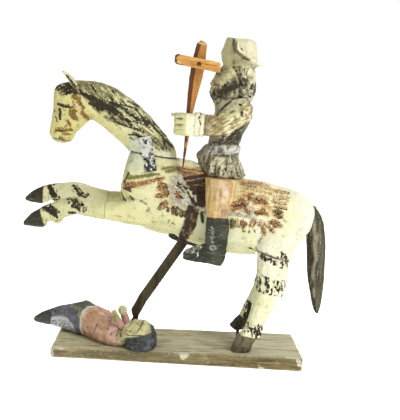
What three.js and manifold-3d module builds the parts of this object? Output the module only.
// Carved and painted wooden santo: a saint on a rearing horse over a fallen figure, on a plank.
// Millimetres. The horse faces -X, +Y is its far flank, +Z is up.
// The origin is the centre of the plank's underside.
import * as THREE from 'three';
import { mergeVertices } from 'three/addons/utils/BufferGeometryUtils.js';
import Module from 'manifold-3d';

const wasm = await Module();
wasm.setup();

// Driving dimensions
const BOARD_LENGTH = 254;
const BOARD_DEPTH = 92;
const BOARD_THIN = 10.5;        // left end
const BOARD_THICK = 15;         // right end
const EDGE_WEAR = 3;            // bevel worn along the front edge
const NAIL_HOLE = 1.9;          // diameter
const HORSE_Y = -8;             // middle plane of the horse and the rider
const LEG_OFFSET = 20;          // leg centre from the middle plane
const TRUNK_HALF = 26;          // half width of the horse's trunk
const STRUT = 9.5;              // square stick
const PEG = 3.4;                // diameter
const GAP = 0.3;                // clearance where pieces meet
const HEM_Z = 191;              // lower edge of the rider's skirt
const CROSS_Y = -35;            // plane of the cross in the near fist

const boardTop = (x) => BOARD_THIN + (BOARD_THICK - BOARD_THIN) * (x / BOARD_LENGTH + 0.5);
const side = (s) => HORSE_Y + s * LEG_OFFSET;        // s is -1 near, +1 far

// A closed solid from a geometry, with its shared corners merged
function solid(geometry) {
  const bare = geometry.clone();
  bare.deleteAttribute('normal');
  bare.deleteAttribute('uv');
  const merged = mergeVertices(bare, 1e-4);
  const mesh = new wasm.Mesh({
    numProp: 3,
    vertProperties: new Float32Array(merged.attributes.position.array),
    triVerts: new Uint32Array(merged.index.array),
  });
  return new wasm.Manifold(mesh);
}

// Skin over a row of rings that have the same number of points, closed by a fan at each end
function skin(rings) {
  const count = rings[0].length;
  const points = rings.flat();
  const faces = [];
  rings.slice(1).forEach((ring, i) => {
    for (let k = 0; k < count; k++) {
      const next = (k + 1) % count;
      const [a, b] = [i * count + k, i * count + next];
      faces.push(a, b, b + count, a, b + count, a + count);
    }
  });
  [[0, 1], [rings.length - 1, 0]].forEach(([row, flip]) => {
    const middle = new THREE.Vector3();
    rings[row].forEach((p) => middle.addScaledVector(p, 1 / count));
    points.push(middle);
    for (let k = 0; k < count; k++) {
      const pair = [row * count + k, row * count + (k + 1) % count];
      if (flip) pair.reverse();
      faces.push(points.length - 1, ...pair);
    }
  });
  if (volume(points, faces) < 0) faces.reverse();
  const geometry = new THREE.BufferGeometry().setFromPoints(points);
  geometry.setIndex(faces);
  return solid(geometry);
}

function volume(points, faces) {
  let sum = 0;
  for (let i = 0; i < faces.length; i += 3) {
    const [a, b, c] = [0, 1, 2].map((k) => points[faces[i + k]]);
    sum += a.dot(new THREE.Vector3().crossVectors(b, c));
  }
  return sum;
}

// Point of a rounded square of the given power, at turn 0 to 1, within -1 to 1
function roundedSquare(turn, power) {
  const [c, s] = [Math.cos(turn * 2 * Math.PI), Math.sin(turn * 2 * Math.PI)];
  const bend = (v) => Math.sign(v) * Math.abs(v) ** (2 / power);
  return [bend(c), bend(s)];
}

// Smooth rows between the given ones: each number follows its own spline
function smoothRows(rows, steps) {
  const columns = rows[0].map((_, c) => new THREE.SplineCurve(
    rows.map((row, i) => new THREE.Vector2(i, row[c])),
  ));
  const total = (rows.length - 1) * steps;
  return Array.from({ length: total + 1 }, (_, i) => columns.map((curve) => curve.getPoint(i / total).y));
}

// A form between two outlines seen from the side.
// Each row is [upper x, upper z, lower x, lower z, middle y, half width].
function profile(rows, { sides = 12, steps = 2, power = 2.4 } = {}) {
  return skin(smoothRows(rows, steps).map(([ux, uz, lx, lz, y, half]) => (
    Array.from({ length: sides }, (_, k) => {
      const [across, up] = roundedSquare((k + 0.5) / sides, power);
      const t = (up + 1) / 2;
      return new THREE.Vector3(lx + (ux - lx) * t, y + across * half, lz + (uz - lz) * t);
    })
  )));
}

// An upright form. Each row is [z, middle x, middle y, half length, half width, pleat depth].
function column(rows, { sides = 16, steps = 1, power = 2.3 } = {}) {
  return skin(smoothRows(rows, steps).map(([z, x, y, long, wide, pleat = 0]) => (
    Array.from({ length: sides }, (_, k) => {
      const [a, b] = roundedSquare((k + 0.5) / sides, power);
      const reach = k % 2 ? 1 : 1 - pleat;
      return new THREE.Vector3(x + a * long * reach, y + b * wide * reach, z);
    })
  )));
}

// A form that lies along a bent line. Each row is [x, y, lowest z, highest z, half width].
function lying(rows, { sides = 12, steps = 2, power = 2.4 } = {}) {
  const smooth = smoothRows(rows, steps);
  return skin(smooth.map(([x, y, low, high, half], i) => {
    const [from, to] = [smooth[Math.max(i - 1, 0)], smooth[Math.min(i + 1, smooth.length - 1)]];
    const across = new THREE.Vector3(from[1] - to[1], to[0] - from[0], 0).normalize();
    return Array.from({ length: sides }, (_, k) => {
      const [a, b] = roundedSquare((k + 0.5) / sides, power);
      return new THREE.Vector3(x, y, (low + high) / 2 + b * (high - low) / 2)
        .addScaledVector(across, a * half);
    });
  }));
}

// A straight round or flat-sided stick between two points
function stick(from, to, startRadius, endRadius, sides = 8, twist = 0) {
  const [a, b] = [new THREE.Vector3(...from), new THREE.Vector3(...to)];
  const geometry = new THREE.CylinderGeometry(endRadius, startRadius, a.distanceTo(b), sides);
  geometry.rotateY(twist);
  const turn = new THREE.Quaternion().setFromUnitVectors(
    new THREE.Vector3(0, 1, 0),
    b.clone().sub(a).normalize(),
  );
  geometry.applyQuaternion(turn);
  geometry.translate(...a.lerp(b, 0.5).toArray());
  return solid(geometry);
}

function block(length, depth, height, x, y, z) {
  return solid(new THREE.BoxGeometry(length, depth, height).translate(x, y, z));
}

function ball(radius, x, y, z, [sx, sy, sz] = [1, 1, 1], detail = 8) {
  return solid(new THREE.SphereGeometry(radius, detail, detail / 2 + 1).scale(sx, sy, sz).translate(x, y, z));
}

// Everything above a line in side view, to trim a joint: the line passes (x, z) with the slope
function above(x, z, slope, lift = 0) {
  const reach = 400;
  const half = new THREE.BoxGeometry(2 * reach, 2 * reach, reach).translate(0, 0, reach / 2);
  half.rotateY(-Math.atan(slope));
  return solid(half.translate(x, 0, z + lift));
}

// Base
function baseBoard() {
  const [long, deep] = [BOARD_LENGTH / 2, BOARD_DEPTH / 2];
  const ring = (x) => [
    [-deep, 0], [deep, 0], [deep, boardTop(x)],
    [-deep + EDGE_WEAR, boardTop(x)], [-deep, boardTop(x) - EDGE_WEAR],
  ].map(([y, z]) => new THREE.Vector3(x, y, z));
  const plank = skin([ring(-long), ring(long)]);
  const holeX = -15;
  const holes = [3.5, 9.5].map((z) => (
    stick([holeX, -deep - 1, z], [holeX, -deep + 6, z], NAIL_HOLE / 2, NAIL_HOLE / 2)
  ));
  return holes.reduce((left, hole) => left.subtract(hole), plank);
}

// Horse
const SEAT = { x: -14, z: 203.5, slope: -0.1 };        // joint of the neck on the trunk
const THIGH_SEAM = { x: 73, z: 118, slope: -0.27 };    // joint below the thighs
const FORE_SEAM_X = -81.5;                             // joint of the forelegs

function trunk() {
  const wide = TRUNK_HALF;
  const rows = [
    [-66, 182, -68.5, 170, HORSE_Y, wide - 15],
    [-63, 199, -67, 158, HORSE_Y, wide - 7],
    [-57, 214, -60, 145, HORSE_Y, wide - 2.5],
    [-40, 214, -38, 128.8, HORSE_Y, wide],
    [-15, 208, -14, 125.3, HORSE_Y, wide],
    [15, 198.5, 15, 116.6, HORSE_Y, wide - 0.5],
    [45, 190, 45, 110.5, HORSE_Y, wide],
    [75, 186.5, 76, 111, HORSE_Y, wide + 1.5],
    [102, 181, 103, 117, HORSE_Y, wide + 1.5],
    [120, 174, 121, 130, HORSE_Y, wide - 5],
    [128, 165.5, 128, 143, HORSE_Y, wide - 13],
    [130.5, 159, 130.5, 150, HORSE_Y, wide - 20],
  ];
  const scoop = profile([                                // shallow hollow in front of the strut
    [-21.6, 119.5, -6.4, 119.5, HORSE_Y, 60],
    [-20, 125.2, -8, 125.2, HORSE_Y, 60],
    [-16.4, 128.4, -10.6, 128.4, HORSE_Y, 60],
  ], { sides: 4, steps: 1, power: 100 });
  return profile(rows, { sides: 16, steps: 2, power: 2.5 }).subtract(scoop);
}

// Shoulder and thigh stubs that the legs are joined to
function stubs() {
  const both = [];
  [-1, 1].forEach((s) => {
    const lift = s > 0 ? 6.5 : 0;
    both.push(profile([
      [-84, 157.5 + lift, -84, 139.5 + lift, side(s), 8.5],
      [-70, 157.5 + lift, -70, 138 + lift, side(s), 9.3],
      [-54, 164 + lift, -54, 135.5 + lift, side(s) - 2 * s, 10.5],
      [-34, 170, -34, 133, side(s) - 9 * s, 13],
    ], { sides: 12, steps: 1, power: 2.3 }));
    both.push(profile([
      [76, 160, 124, 156, side(s) - 9 * s, 15.5],
      [72, 142, 123, 138, side(s) - 5 * s, 14.5],
      [72, 125, 112, 124, side(s) - s, 12.5],
      [74, 110, 106, 104, side(s), 11.2],
    ], { sides: 12, steps: 1, power: 2.5 }));
  });
  return both;
}

function horseBody() {
  const whole = stubs().reduce((sum, stub) => sum.add(stub), trunk());
  const seam = above(THIGH_SEAM.x, THIGH_SEAM.z, THIGH_SEAM.slope);
  const legZone = block(70, BOARD_DEPTH * 2, 60, THIGH_SEAM.x + 35, 0, 90);
  const front = block(60, BOARD_DEPTH * 2, 60, FORE_SEAM_X - 30, 0, 155);
  return whole
    .subtract(above(SEAT.x, SEAT.z, SEAT.slope))
    .subtract(legZone.subtract(seam))
    .subtract(front);
}

function neckAndHead() {
  const rows = [
    [-8, 192, -64, 195, HORSE_Y, 19.5],
    [-12.5, 204, -62.5, 207, HORSE_Y, 19],
    [-17, 216, -69, 214, HORSE_Y, 17.5],
    [-30, 231, -79, 222, HORSE_Y, 15.5],
    [-46, 247.5, -89, 229.5, HORSE_Y, 14],
    [-64, 261, -97, 234.5, HORSE_Y, 13.5],
    [-84, 272, -102.5, 236, HORSE_Y, 13.5],
    [-104, 275.5, -106, 233, HORSE_Y, 14],
    [-123.5, 274, -109.5, 229, HORSE_Y, 14],
    [-138.3, 267.6, -112.5, 225.5, HORSE_Y, 13.5],
    [-139.9, 254, -115.4, 222.3, HORSE_Y, 12.5],
    [-140.4, 239, -117.6, 218.4, HORSE_Y, 11],
    [-142.2, 227, -119.6, 214.6, HORSE_Y, 10.5],
    [-142, 219.5, -124.5, 212.3, HORSE_Y, 9.5],
    [-138.3, 214.2, -129.5, 211.6, HORSE_Y, 6.5],
  ];
  const whole = profile(rows, { sides: 12, steps: 2, power: 2.5 });
  const behind = block(60, BOARD_DEPTH, 60, SEAT.x + 30, HORSE_Y, SEAT.z);
  const muzzle = block(60, BOARD_DEPTH, 60, -125, HORSE_Y, 200);         // hangs lower than the joint
  return whole
    .intersect(above(SEAT.x, SEAT.z, SEAT.slope, GAP).add(muzzle))
    .subtract(behind);
}

// A pricked ear: a thin leaf, cupped forwards, set into the poll
function ear(s, head) {
  const y = HORSE_Y + s * 9.5;
  const x = s > 0 ? -2 : -0.8;                           // the far ear leans further forwards
  const leaf = profile([
    [-112 + x, 265, -117.5 + x, 261.5, y, 2.4],
    [-115.2 + x, 271.2, -120.6 + x, 267.6, y, 2.8],
    [-119.4 + x, 276.2, -124.6 + x, 273.8, y + s * 0.6, 2.5],
    [-126 + x, 281.3, -129 + x, 279.3, y + s, 1.5],
    [-130.8 + x, 283.3, -131.4 + x, 282.1, y + s * 1.2, 0.5],
  ], { sides: 8, steps: 1, power: 2 });
  return leaf
    .subtract(head.translate([0, 0, GAP]))
    .subtract(head.translate([0, s * GAP, 0]));
}

// The near foreleg reaches low and level; the far one is bent up at the knee
function foreleg(s) {
  const y = side(s);
  const near = [
    [-80, 157.5, -80, 139.2, y, 8.5],
    [-96, 158.6, -97, 141, y, 8.3],
    [-112, 160.2, -110, 143, y, 8.3],
    [-126, 157, -120, 139, y, 7.8],
    [-137, 152, -128, 134.5, y, 7.3],
    [-142.5, 148, -137, 134, y, 7.3],
  ];
  const far = [
    [-80, 164, -80, 146, y, 8.5],
    [-97, 166.8, -98, 149, y, 8.3],
    [-113, 171, -111, 152, y, 8.3],
    [-127, 169.8, -123, 151.5, y, 7.8],
    [-140, 167.6, -133, 150, y, 7.3],
    [-148.5, 164.6, -143, 150.5, y, 7.3],
  ];
  const hoofNear = [
    [-140, 150.8, -138, 130.5, y, 7.8],
    [-147, 146, -142.5, 127.6, y, 8.6],
    [-154.5, 141, -153, 128, y, 8.4],
    [-160.8, 133, -160.4, 128.6, y, 6],
  ];
  const hoofFar = [
    [-146.5, 166, -142.5, 148.5, y, 7.8],
    [-153, 163, -149.5, 146, y, 8.6],
    [-160.5, 158, -159, 147, y, 8.4],
    [-166.6, 151.8, -166.2, 148.9, y, 6],
  ];
  const leg = profile(s < 0 ? near : far, { sides: 12, steps: 1, power: 2.5 });
  const hoof = profile(s < 0 ? hoofNear : hoofFar, { sides: 12, steps: 1, power: 2.8 });
  const fetlock = s < 0
    ? profile([
      [-121, 140, -123, 135, y, 3],
      [-126, 137, -127.5, 131.8, y, 3.4],
      [-131, 135, -131, 132.5, y, 2.4],
    ], { sides: 8, steps: 1 })
    : profile([
      [-127, 154, -129, 148, y, 3],
      [-133, 152, -133.5, 146.2, y, 3.4],
      [-138, 151, -138, 148, y, 2.4],
    ], { sides: 8, steps: 1 });
  const seam = block(40, BOARD_DEPTH * 2, 60, FORE_SEAM_X - GAP + 20, 0, 155);
  return leg.add(hoof).add(fetlock).subtract(seam);
}

// The near hind leg carries the weight; the far hoof is lifted a little and stands on a peg
function hindleg(s, board) {
  const y = side(s);
  const near = [
    [73.5, 122, 106.5, 120, y, 11],
    [76, 104, 106, 104, y, 11],
    [76, 88, 105.5, 88, y, 10.5],
    [73.5, 72, 103.5, 74, y, 9.5],
    [71.5, 57, 93, 57.5, y, 8.5],
    [68.5, 44, 86, 43, y, 8],
    [64, 34.5, 85.2, 33, y, 8.3],
    [61, 29, 83.8, 27.8, y, 8.6],
  ];
  const far = [
    [74.5, 122, 105.5, 120, y, 11],
    [78, 104, 104, 104, y, 10.5],
    [79, 88, 103, 88, y, 10],
    [76, 72, 98, 74, y, 9],
    [71, 59, 88.5, 60, y, 8.2],
    [66, 47, 82.5, 48.5, y, 7.8],
    [63.5, 40, 81, 35.5, y, 8],
  ];
  const hoofNear = [
    [60, 30.5, 79, 28.2, y, 9.2],
    [56, 20, 75.8, 20, y, 9.6],
    [52.9, 10, 73.2, 10, y, 9.8],
  ];
  const hoofFar = [
    [65.5, 42, 76.5, 32, y, 8.4],
    [59.5, 35.5, 70, 26.5, y, 9],
    [54.2, 29.2, 62, 25, y, 8.6],
  ];
  const leg = profile(s < 0 ? near : far, { sides: 12, steps: 1, power: 2.6 });
  const hoof = profile(s < 0 ? hoofNear : hoofFar, { sides: 12, steps: 1, power: 3 });
  return leg.add(hoof)
    .subtract(above(THIGH_SEAM.x, THIGH_SEAM.z, THIGH_SEAM.slope, -GAP))
    .subtract(board.translate([0, 0, GAP]));
}

function tail(body) {
  const rows = [
    [128, 165.5, 131.6, 164.5, HORSE_Y, 3],
    [124.5, 154, 139.5, 154, HORSE_Y, 5.5],
    [123, 139, 143.6, 140, HORSE_Y, 6.5],
    [125, 122, 146, 122, HORSE_Y, 6.5],
    [127.3, 98, 147.3, 98, HORSE_Y, 6],
    [131.5, 78, 147.5, 78, HORSE_Y, 5],
    [136.4, 60.5, 146.2, 60.5, HORSE_Y, 3.8],
    [139.8, 52.4, 144, 52, HORSE_Y, 2],
  ];
  return profile(rows, { sides: 8, steps: 2, power: 2 })
    .subtract(body)
    .translate([GAP, 0, 0]);
}

// A thin strip laid over the neck joint on the near flank
function mendStrip(body, neck) {
  const half = new THREE.Vector2(5.9, 1.5);       // from its middle line to its right edge
  const rows = [
    [-46.5, 224, -22.9],
    [-44, 214, -24.5],
    [-42, 206, -26.4],
    [-40.7, 201, -28.3],
    [-38, 190.5, -31.4],
  ].map(([x, z, y]) => [x - half.x, z - half.y, x + half.x, z + half.y, y, 2]);
  return profile(rows, { sides: 4, steps: 1, power: 100 })
    .subtract(body.translate([0, -GAP, 0]))
    .subtract(neck.translate([0, -1.2 * GAP, -1.2 * GAP]));
}

const group = new THREE.Group();

function addPiece(name, form, color, roughness = 0.85) {
  const { vertProperties, triVerts } = form.getMesh();
  const geometry = new THREE.BufferGeometry();
  geometry.setAttribute('position', new THREE.BufferAttribute(vertProperties, 3));
  geometry.setIndex(new THREE.BufferAttribute(triVerts, 1));
  const material = new THREE.MeshStandardMaterial({ color, roughness, metalness: 0 });
  const mesh = new THREE.Mesh(geometry, material);
  mesh.name = name;
  group.add(mesh);
  return form;
}

// Rider
function hat() {
  const [x, y] = [45, HORSE_Y];
  const crown = column([
    [300, x + 0.5, y, 15.5, 16],
    [309, x - 0.5, y, 16, 15.5],
    [318, x - 1, y, 15.5, 14.5],
    [324, x - 2, y, 15, 12.5],
    [327, x - 3.5, y, 12.5, 9],
  ], { sides: 12, steps: 1, power: 2.6 });
  const count = 18;
  const ring = (reach, lift, thick) => Array.from({ length: count }, (_, k) => {
    const turn = (k / count) * 2 * Math.PI;
    const front = Math.max(0, -Math.cos(turn));
    const rise = 302.5 + 2.2 * Math.abs(Math.sin(turn)) * reach + lift * front ** 1.6;
    const curl = 18 + 12.5 * reach * (1 - reach) - 2 * reach;
    const long = front > 0 ? curl : 15 + 6.5 * reach;
    const inward = front ** 2 * thick * 0.9;
    return new THREE.Vector3(
      x + Math.cos(turn) * long + inward,
      y + Math.sin(turn) * (15.5 + 9.5 * reach),
      rise + thick * (1 - front * 0.6),
    );
  });
  const brim = skin([
    ring(0, 0, -1.8), ring(0.55, 10, -1.6), ring(1, 24.5, -1), ring(1.02, 26, 0.2),
    ring(0.97, 25.5, 1.2), ring(0.5, 10, 2), ring(0, 1, 2),
  ]);
  return crown.add(brim);
}

function head() {
  const y = HORSE_Y;
  const skull = column([
    [262, 38, y, 11, 11],
    [270, 37, y, 14, 13],
    [281, 36, y, 16, 14.5],
    [292, 36.5, y, 15.5, 14.5],
    [303, 40, y, 12, 13],
  ], { sides: 12, steps: 1, power: 2.3 });
  const hair = column([
    [266, 51, y, 7, 14, 0.1],
    [272, 50.5, y, 10, 17, 0.12],
    [280, 50, y, 11.5, 18.5, 0.1],
    [289, 49, y, 11, 18, 0.1],
    [298, 48, y, 11, 16.5, 0.06],
    [304, 47, y, 10.5, 14.5, 0],
  ], { sides: 16, steps: 1, power: 2.4 });
  const beard = column([
    [253, 25.5, y, 4, 5],
    [261, 25.5, y, 5, 7.5, 0.06],
    [268.5, 24.5, y, 8.2, 10, 0.08],
    [275, 24.5, y, 9.8, 12, 0.08],
    [279, 26, y, 9.5, 12.5],
  ], { sides: 12, steps: 1, power: 2.2 });
  const nose = profile([
    [19.5, 292, 26, 292, y, 1.8],
    [16.8, 285, 26, 285, y, 2.6],
    [14, 280, 26, 278.5, y, 3.4],
    [17, 277.5, 26, 277, y, 2.4],
  ], { sides: 8, steps: 1, power: 2 });
  const brow = profile([
    [19, 296.5, 26, 296.5, y, 9],
    [18.6, 293.5, 26, 293.5, y, 10],
    [20.4, 291.5, 26, 291.5, y, 9],
  ], { sides: 8, steps: 1, power: 2.4 });
  return [hair, beard, nose, brow].reduce((sum, form) => sum.add(form), skull);
}

function torso() {
  const y = HORSE_Y;
  const chest = column([
    [209, 31.5, y, 16, 16.5],
    [222, 33, y, 16, 15.5],
    [232, 35, y, 16.5, 17],
    [243, 38.5, y, 18.5, 20],
    [253, 40.5, y, 19, 22.5],
    [261, 41, y, 18.5, 22],
    [267, 41, y, 13, 15],
  ], { sides: 14, steps: 1, power: 2.4 });
  const belt = column([
    [209.5, 31.5, y, 16.5, 17.5],
    [211, 31.5, y, 17.6, 18.6],
    [219.5, 32.8, y, 17.4, 18.2],
    [221.5, 33, y, 16.2, 17],
  ], { sides: 14, steps: 1, power: 2.4 });
  const skirt = column([
    [212, 31, y, 16.5, 17.5, 0],
    [206, 31, y, 19.5, 21.5, 0.06],
    [199, 32.5, y, 22, 26, 0.08],
    [HEM_Z, 34.5, y, 23, 30, 0.1],
    [HEM_Z - 2, 34.5, y, 21, 28.5, 0.1],
  ], { sides: 24, steps: 1, power: 2.4 });
  const flap = profile([
    [20, 224, 27, 200, y, 13],
    [14, 219, 20, 198, y, 12.5],
    [8.5, 213, 13, 197, y, 11],
    [5.6, 208.5, 9, 200, y, 8],
  ], { sides: 12, steps: 1, power: 3 });
  return chest.add(belt).add(skirt).add(flap);
}

// The near arm, bent: a full sleeve, a cuff and a closed fist round the upright shaft
function nearArm() {
  const y = (reach) => HORSE_Y - reach;
  const sleeve = profile([
    [37, 267, 50, 269, y(17), 6],
    [31.5, 260, 57.5, 260, y(21), 9],
    [26, 254, 57.5, 249, y(24), 10.5],
    [22.5, 251.3, 49, 241.5, y(25.5), 10.5],
    [19.5, 251, 36, 233.5, y(26), 10],
    [14.5, 251, 20, 229.5, y(26.5), 9.8],
    [8.5, 250.5, 9, 229, y(26.5), 9.5],
  ], { sides: 12, steps: 1, power: 2.5 });
  const cuff = profile([
    [9.5, 251.8, 9.5, 228, y(26.5), 10.6],
    [6, 252.2, 6, 227.5, y(26.5), 11],
    [1.2, 252, 1.2, 227.8, y(26.5), 11],
    [0.6, 250, 0.6, 229.5, y(26.5), 9.4],
  ], { sides: 12, steps: 1, power: 3.2 });
  const fist = profile([
    [1.5, 250.3, 1.5, 229.3, y(26.5), 9.6],
    [-4, 250.6, -4, 228.4, y(27), 10.2],
    [-12, 250.6, -12, 228, y(27), 10.4],
    [-17, 250.2, -17, 228.6, y(27), 9.6],
    [-18.6, 248, -18.6, 230.5, y(27), 7.8],
  ], { sides: 12, steps: 1, power: 4 });
  const thumb = stick([-12, y(24), 247.8], [-22, y(24.5), 248], 3, 1.6, 6);
  const whole = sleeve.add(cuff).add(fist).add(thumb);
  const knuckle = 5.4;
  return [1, 2, 3].reduce((left, k) => (
    left.subtract(stick([-7.5, y(38), 250 - knuckle * k], [-30, y(33), 250 - knuckle * k], 1.5, 4, 4))
  ), whole);
}

// The far arm is plainer: bent the same way, with its closed hand held in front of the chest
function farArm() {
  const y = (reach) => HORSE_Y + reach;
  return profile([
    [37, 267, 50, 269, y(17), 6],
    [31.5, 260, 57.5, 260, y(21), 9],
    [26, 254, 57.5, 249, y(24), 10],
    [21.5, 250, 49, 241, y(24), 9],
    [18.5, 247, 36, 233.5, y(21.5), 8],
    [13, 245, 20, 231, y(17.5), 7],
    [6.5, 243.5, 7, 231.5, y(13.5), 6.5],
    [3, 241, 3, 233.5, y(12), 5],
  ], { sides: 10, steps: 1, power: 2.6 });
}

// Breeches and boot. Built for the near side, then mirrored for the far one.
function riderLeg(s, body) {
  const y = side(-1);
  const shin = profile([
    [13, 200, 51, 200, y - 7, 13],
    [15, 190, 49, 191, y - 9, 13.5],
    [16.5, 174, 46, 174, y - 12.5, 12],
    [17.3, 160, 41.5, 160, y - 15, 9.8],
  ], { sides: 12, steps: 1, power: 2.5 });
  const boot = profile([
    [18.6, 166, 38.5, 165, y - 14.6, 8.8],
    [19, 150, 41.5, 149, y - 15.3, 9],
    [19, 137, 42.6, 137, y - 15.3, 8.6],
    [19, 122, 41, 121, y - 15.3, 8.2],
    [22, 112, 38.5, 108, y - 15.3, 7.6],
  ], { sides: 12, steps: 1, power: 2.6 });
  const sole = s > 0 ? 1.6 : 0;
  const foot = profile([
    [41.5, 118, 38.5, 106 + sole, y - 15.3, 5.5],
    [36, 125, 35.8, 102.8 + sole, y - 15.3, 7.6],
    [21, 125.5, 24, 104.3 + sole, y - 15.3, 8],
    [10, 121, 12, 105.2 + sole, y - 15.3, 8.4],
    [2, 117.5, 3, 106.4 + sole, y - 15.3, 7],
    [-1.4, 114, -0.8, 108 + sole, y - 15.3, 4.6],
  ], { sides: 12, steps: 1, power: 2.8 });
  let leg = shin.add(boot).add(foot);
  if (s > 0) {
    const swing = 11.9;
    leg = leg.mirror([0, 1, 0]).translate([0, 2 * HORSE_Y, 0])
      .translate([-32, 0, -HEM_Z]).rotate([0, swing, 0]).translate([32, 0, HEM_Z]);
  }
  const skirtZone = above(0, HEM_Z - 2 - GAP, 0);
  return leg
    .subtract(body.translate([0, s * GAP, 0]))
    .subtract(skirtZone);
}

// Cross: a tapered blade through the fist and a bar nailed across it.
// The same form, grown, also cuts the hole in the fist.
function crossShaft(grow = 0) {
  const rows = [
    [-1.7, 317.5, 8.3, 317.5],
    [-4.6, 303, 7.8, 303],
    [-6.6, 286, 6.1, 286],
    [-7.3, 268, 2.4, 268],
    [-7.3, 251, -1, 251],
    [-7.2, 226, -3.2, 226],
    [-7.8, 192, -7.2, 192],
  ];
  const thick = (z) => 2.2 + 1.6 * (z - 192) / 126;
  const rings = rows.map(([left, zl, right, zr]) => [
    [left - grow, CROSS_Y - 1 - grow, zl],
    [right + grow, CROSS_Y - thick(zr) - grow, zr],
    [right + grow, CROSS_Y + thick(zr) + grow, zr],
    [left - grow, CROSS_Y + thick(zl) + 1 + grow, zl],
  ].map((p) => new THREE.Vector3(...p)));
  const peak = [1.6, 3.6].map((x) => new THREE.Vector3(x, CROSS_Y - 2, 320.6));
  const back = [3.6, 1.6].map((x) => new THREE.Vector3(x, CROSS_Y + 3, 320.6));
  return skin([[...peak, ...back], ...rings]);
}

function crossBar() {
  const front = CROSS_Y - 9;
  const back = CROSS_Y - 3.6 - GAP;
  const ring = (x, half, y0, y1) => {
    const middle = 301.3 - (x + 21) * 0.125;
    return [[y0, middle - half], [y1, middle - half], [y1, middle + half], [y0, middle + half]]
      .map(([y, z]) => new THREE.Vector3(x, y, z));
  };
  return skin([
    ring(-22, 3, front + 0.6, back), ring(-19.5, 4.9, front, back), ring(0, 5, front, back),
    ring(20, 4.9, front, back), ring(22.5, 3.9, front + 0.6, back),
  ]);
}

function crossNail() {
  const [x, z] = [1.8, 298.2];
  const tip = CROSS_Y - 9 - GAP;
  return stick([x, tip, z], [x, tip - 1.2, z], 2, 1.2, 8);
}

// Strut: square stick from the belly down to the board, its foot pared to a peg
function strut(body, board) {
  const square = new THREE.Vector2(0.857, -0.514);      // across the stick, in side view
  const row = (x, z, y, half) => [
    x - square.x * half, z - square.y * half,
    x + square.x * half, z + square.y * half, y, half,
  ];
  return profile([
    row(-58.8, 7.5, 7, 3),
    row(-45.4, 32, 5, 3),
    row(-46.4, 38.8, 4.5, STRUT / 2),
    row(-39, 54.8, 2.5, STRUT / 2 + 0.1),
    row(4.8, 128.8, HORSE_Y, STRUT / 2 + 0.1),
  ], { sides: 4, steps: 1, power: 100 })
    .subtract(body.translate([0, 0, -GAP]))
    .subtract(board.translate([0, 0, GAP]));
}

function hoofPeg(board, leg) {
  const [x, y] = [63.5, side(1)];
  return stick([x, y, 10], [x, y, 36], PEG / 2, PEG / 2, 8)
    .subtract(leg.translate([0, 0, -GAP]))
    .subtract(above(x, 32, 0))
    .subtract(board.translate([0, 0, GAP]));
}

// Fallen figure: on its back across the left end, head at the front edge, feet past the end
function fallenFigure(board) {
  const nearLeg = lying([
    [-139, 34, 12.5, 25, 6],
    [-127, 30, 11, 26.5, 8.5],
    [-114, 22, 10, 28.5, 10.5],
    [-98, 9, 10, 34, 12],
  ], { sides: 10, steps: 1 });
  const farLeg = lying([
    [-139, 46, 12, 26.5, 6],
    [-129, 42, 11, 31.5, 9],
    [-118, 37, 11, 35.3, 10],
    [-108, 31, 11, 39.3, 10.5],
    [-100, 27, 11, 42.8, 10.5],
    [-92, 20, 10, 38, 12],
  ], { sides: 10, steps: 1 });
  const boots = [[-138, 34.5, 0], [-138.5, 46, -2.2]].map(([x, y, lift]) => lying([
    [x + 3, y - 0.5, 12 + lift, 26.5 + lift, 4.8],
    [x - 3, y + 0.5, 11.5 + lift, 28 + lift, 5.4],
    [x - 10, y + 1.5, 12.5 + lift, 24.5 + lift, 5],
    [x - 16, y + 2.5, 13.5 + lift, 20 + lift, 3.6],
    [x - 18, y + 3, 14.5 + lift, 17.5 + lift, 1.8],
  ], { sides: 8, steps: 1 }));
  const trunkForm = lying([
    [-101, 18, 12, 36, 12],
    [-94, 12, 9, 42, 17],
    [-84, 4, 9, 40, 18.5],
    [-77, -4.5, 9, 35, 18.5],
    [-70, -12, 9, 31, 18.5],
    [-62, -19.5, 9, 28, 18],
    [-54, -26, 11, 26, 13.5],
    [-47, -29, 14, 27, 9],
  ], { sides: 12, steps: 1, power: 2.6 });
  const skull = ball(17.3, -40, -31, 25, [1.04, 0.98, 0.92], 10);
  const hair = column([
    [10.5, -38, -34, 13.5, 13, 0.12],
    [16, -38, -34.5, 16.5, 15, 0.1],
    [24, -37, -34.5, 16, 14.5, 0.1],
    [30, -36, -33.5, 13, 12, 0.1],
  ], { sides: 16, steps: 1, power: 2.3 });
  const nose = stick([-45, -37, 39.5], [-47, -39.5, 33.5], 1.6, 2.8, 6);
  return [nearLeg, farLeg, ...boots, skull, hair, nose]
    .reduce((sum, form) => sum.add(form), trunkForm)
    .subtract(board.translate([0, 0, GAP]));
}

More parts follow.
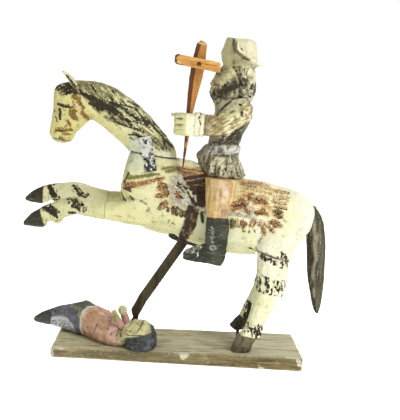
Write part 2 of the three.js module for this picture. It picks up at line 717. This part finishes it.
// The figure's raised forearms: the near one ends in a flat hand, the far one in a fist
function figureArm(s, figure) {
  const near = stick([-56, -24, 22], [-59.8, -19.5, 33], 3.8, 3.4, 8)
    .add(stick([-59.2, -19.5, 31.5], [-68.2, -18, 44.8], 2.8, 2.5, 6));
  const far = stick([-51.5, -11, 25], [-57.5, -12, 41], 4.4, 4, 8)
    .add(ball(5.2, -59, -12, 44.5, [1, 1, 1], 8));
  return [[0, 0, GAP], [GAP, 0, 0], [0, GAP, 0], [0, 0, -GAP]].reduce((left, shift) => (
    left.subtract(figure.translate(shift))
  ), s < 0 ? near : far);
}

const board = addPiece('base_board', baseBoard(), 0x8c7f60);
const body = addPiece('horse_body', horseBody(), 0xe6e2b4);
const neck = addPiece('horse_neck_head', neckAndHead(), 0xdcd8ae);
addPiece('horse_ear_near', ear(-1, neck), 0xd8d4ae);
addPiece('horse_ear_far', ear(1, neck), 0xd8d4ae);
addPiece('neck_mend_strip', mendStrip(body, neck), 0x8a8e8a);
addPiece('horse_foreleg_near', foreleg(-1), 0xe0dcae);
addPiece('horse_foreleg_far', foreleg(1), 0xd4d0a4);
addPiece('horse_hindleg_near', hindleg(-1, board), 0xe6e2b6);
const farHind = addPiece('horse_hindleg_far', hindleg(1, board), 0xd0cc9e);
addPiece('hind_hoof_peg', hoofPeg(board, farHind), 0x5a3428);
addPiece('horse_tail', tail(body), 0x4c463a);
addPiece('belly_strut', strut(body, board), 0x52452f);
const saint = torso().add(head()).add(hat()).add(nearArm()).add(farArm());
const rider = saint
  .subtract(body.translate([0, 0, GAP]))
  .subtract(crossShaft(GAP));
addPiece('rider', rider, 0xa8a286);
addPiece('rider_leg_near', riderLeg(-1, body), 0x6c6656);
addPiece('rider_leg_far', riderLeg(1, body), 0x6c6656);
addPiece('cross_shaft', crossShaft(), 0xc2763a, 0.6);
addPiece('cross_bar', crossBar(), 0xc87c3e, 0.6);
addPiece('cross_nail', crossNail(), 0x7a5a3e, 0.5);
const figure = addPiece('fallen_figure', fallenFigure(board), 0xa88a74);
addPiece('figure_arm_near', figureArm(-1, figure), 0xb8aa64);
addPiece('figure_arm_far', figureArm(1, figure), 0xb48a74);

export default group;
